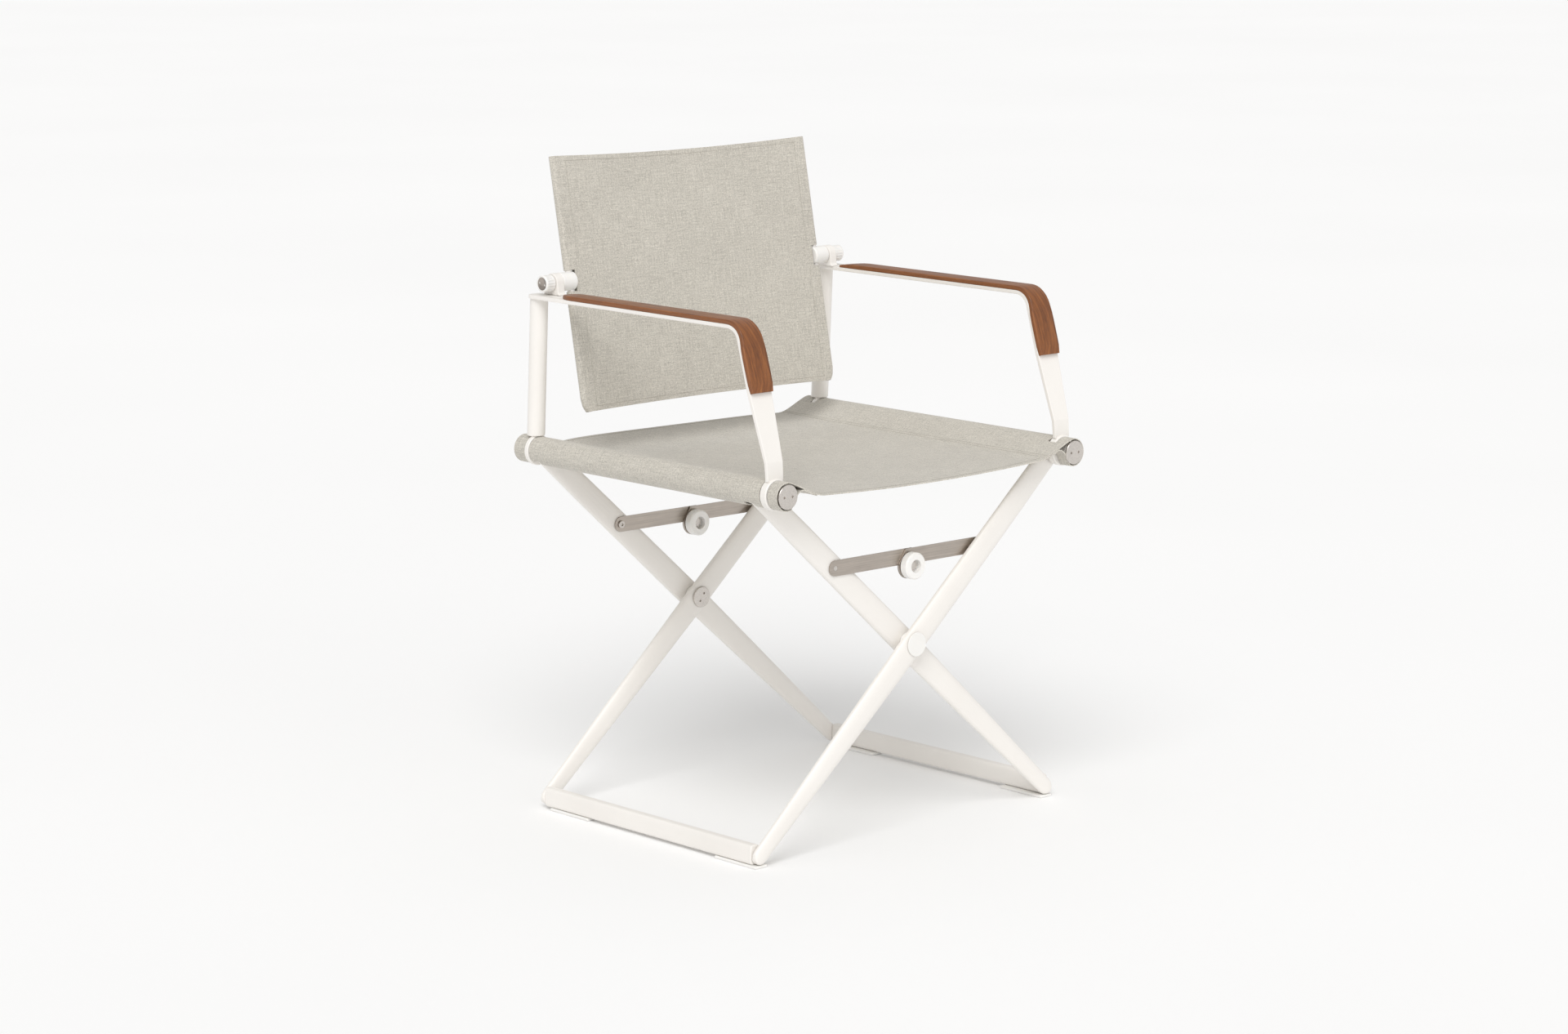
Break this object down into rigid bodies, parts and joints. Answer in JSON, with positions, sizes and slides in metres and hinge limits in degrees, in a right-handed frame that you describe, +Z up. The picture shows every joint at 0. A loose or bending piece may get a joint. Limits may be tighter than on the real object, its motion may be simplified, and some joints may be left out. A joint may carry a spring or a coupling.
{
  "type": "folding director chair",
  "caption": "Folding director chair: crossed steel legs, stretched seat and tilting back slings, bent strap arms with wooden rests and over-centre folding stays.",
  "frame": {"origin": "centre of the footprint box on the floor, under the middle of the chair", "axes": "+Z up; the sitter faces -Y; +X is the sitter's left; the folding axis runs along Y"},
  "size_m": [0.538, 0.509, 0.8419],
  "materials": {
    "white_paint": "satin off-white powder coat",
    "white_plastic": "matt white moulding",
    "steel": "brushed stainless steel",
    "wood": "oiled reddish brown hardwood",
    "fabric": "warm grey open weave sling fabric"
  },
  "bodies": {
    "frame_a": {"leg_a_front": "white_paint", "leg_a_rear": "white_paint", "base_rail_a": "white_paint", "glide_a_front": "white_plastic", "glide_a_rear": "white_plastic", "link_screw_a_front": "steel", "link_screw_a_rear": "steel", "pivot_bolt_front": "steel", "pivot_bolt_rear": "steel", "pivot_cap_front": "white_plastic", "pivot_spacer_front": "white_plastic", "pivot_spacer_rear": "white_plastic", "pivot_nut_front": "steel", "pivot_nut_rear": "steel"},
    "stay_a_front": {"stay_link_a_front": "steel"},
    "stay_a_rear": {"stay_link_a_rear": "steel"},
    "frame_b": {"leg_b_front": "white_paint", "leg_b_rear": "white_paint", "base_rail_b": "white_paint", "glide_b_front": "white_plastic", "glide_b_rear": "white_plastic", "link_screw_b_front": "steel", "link_screw_b_rear": "steel"},
    "stay_b_front": {"stay_link_b_front": "steel", "knee_knob_front": "white_plastic", "knee_screw_front": "steel"},
    "stay_b_rear": {"stay_link_b_rear": "steel", "knee_knob_rear": "white_plastic", "knee_screw_rear": "steel"},
    "side_near": {"seat_rail_near": "white_paint", "rail_disc_near_front": "steel", "rail_disc_near_rear": "steel", "hub_bush_near_front": "white_plastic", "arm_strap_near": "white_paint", "armrest_near": "wood", "rear_post_near": "white_paint", "back_lug_near": "white_paint", "seat_loop_near": "fabric"},
    "seat_near": {"seat_panel_near": "fabric"},
    "back_near": {"back_rod_near": "white_paint", "back_boss_near": "white_plastic"},
    "back_sling_near": {"back_sling_near": "fabric"},
    "knob_near": {"tilt_knob_near": "steel"},
    "side_far": {"seat_rail_far": "white_paint", "rail_disc_far_front": "steel", "rail_disc_far_rear": "steel", "hub_bush_far_front": "white_plastic", "hub_bush_far_rear": "white_plastic", "arm_strap_far": "white_paint", "armrest_far": "wood", "rear_post_far": "white_paint", "back_lug_far": "white_paint", "seat_loop_far": "fabric"},
    "seat_far": {"seat_panel_far": "fabric"},
    "back_far": {"back_rod_far": "white_paint", "back_boss_far": "white_plastic"},
    "back_sling_far": {"back_sling_far": "fabric"},
    "knob_far": {"tilt_knob_far": "steel"}
  },
  "joints": [
    {"name": "fold", "type": "hinge", "parent": "frame_a", "child": "frame_b", "pos_m": [0, 0, 0.245], "axis": [0, -1, 0], "range_deg": [0, 75.6]},
    {"name": "side_near_swing", "type": "hinge", "parent": "frame_a", "child": "side_near", "pos_m": [-0.248, 0, 0.466], "axis": [0, -1, 0], "range_deg": [0, 37.9]},
    {"name": "seat_near_fold", "type": "hinge", "parent": "side_near", "child": "seat_near", "pos_m": [-0.203, 0, 0.463], "axis": [0, -1, 0], "range_deg": [0, 85.7], "deforming": ["seat_panel_near"]},
    {"name": "side_far_swing", "type": "hinge", "parent": "frame_b", "child": "side_far", "pos_m": [0.248, 0, 0.466], "axis": [0, 1, 0], "range_deg": [0, 37.9]},
    {"name": "seat_far_fold", "type": "hinge", "parent": "side_far", "child": "seat_far", "pos_m": [0.203, 0, 0.463], "axis": [0, 1, 0], "range_deg": [0, 85.7], "deforming": ["seat_panel_far"]},
    {"name": "back_tilt", "type": "hinge", "parent": "side_near", "child": "back_near", "pos_m": [-0.2125, 0.201, 0.6835], "axis": [-1, 0, 0], "range_deg": [-8, 12]},
    {"name": "back_tilt_far", "type": "hinge", "parent": "side_far", "child": "back_far", "pos_m": [0.2125, 0.201, 0.6835], "axis": [-1, 0, 0], "range_deg": [-8, 12]},
    {"name": "back_near_fold", "type": "hinge", "parent": "back_near", "child": "back_sling_near", "pos_m": [-0.2125, 0.201, 0.6835], "axis": [0, 0.1925, 0.9813], "range_deg": [0, 83.3], "deforming": ["back_sling_near"]},
    {"name": "back_far_fold", "type": "hinge", "parent": "back_far", "child": "back_sling_far", "pos_m": [0.2125, 0.201, 0.6835], "axis": [0, -0.1925, -0.9813], "range_deg": [0, 83.3], "deforming": ["back_sling_far"]},
    {"name": "stay_a_front_swing", "type": "hinge", "parent": "frame_a", "child": "stay_a_front", "pos_m": [-0.12456, -0.20455, 0.356], "axis": [0, -1, 0], "range_deg": [0, 119]},
    {"name": "stay_a_rear_swing", "type": "hinge", "parent": "frame_a", "child": "stay_a_rear", "pos_m": [-0.12456, 0.20695, 0.356], "axis": [0, -1, 0], "range_deg": [0, 119]},
    {"name": "stay_b_front_swing", "type": "hinge", "parent": "frame_b", "child": "stay_b_front", "pos_m": [0.12456, -0.20645, 0.356], "axis": [0, 1, 0], "range_deg": [0, 119]},
    {"name": "stay_b_rear_swing", "type": "hinge", "parent": "frame_b", "child": "stay_b_rear", "pos_m": [0.12456, 0.20505, 0.356], "axis": [0, 1, 0], "range_deg": [0, 119]},
    {"name": "knob_near_turn", "type": "hinge", "parent": "side_near", "child": "knob_near", "pos_m": [-0.25, 0.201, 0.6835], "axis": [-1, 0, 0], "range_deg": [0, 360]},
    {"name": "knob_far_turn", "type": "hinge", "parent": "side_far", "child": "knob_far", "pos_m": [0.25, 0.201, 0.6835], "axis": [1, 0, 0], "range_deg": [0, 360]}
  ],
  "couplings": [
    {"joint": "side_near_swing", "follows": "fold", "ratio": 0.5},
    {"joint": "seat_near_fold", "follows": "fold", "ratio": 1.1325},
    {"joint": "side_far_swing", "follows": "fold", "ratio": 0.5},
    {"joint": "seat_far_fold", "follows": "fold", "ratio": 1.1325},
    {"joint": "back_tilt_far", "follows": "back_tilt", "ratio": 1},
    {"joint": "back_near_fold", "follows": "fold", "ratio": 1.1011},
    {"joint": "back_far_fold", "follows": "fold", "ratio": 1.1011},
    {"joint": "stay_a_front_swing", "follows": "fold", "ratio": 1.573},
    {"joint": "stay_a_rear_swing", "follows": "fold", "ratio": 1.573},
    {"joint": "stay_b_front_swing", "follows": "fold", "ratio": 1.573},
    {"joint": "stay_b_rear_swing", "follows": "fold", "ratio": 1.573}
  ]
}
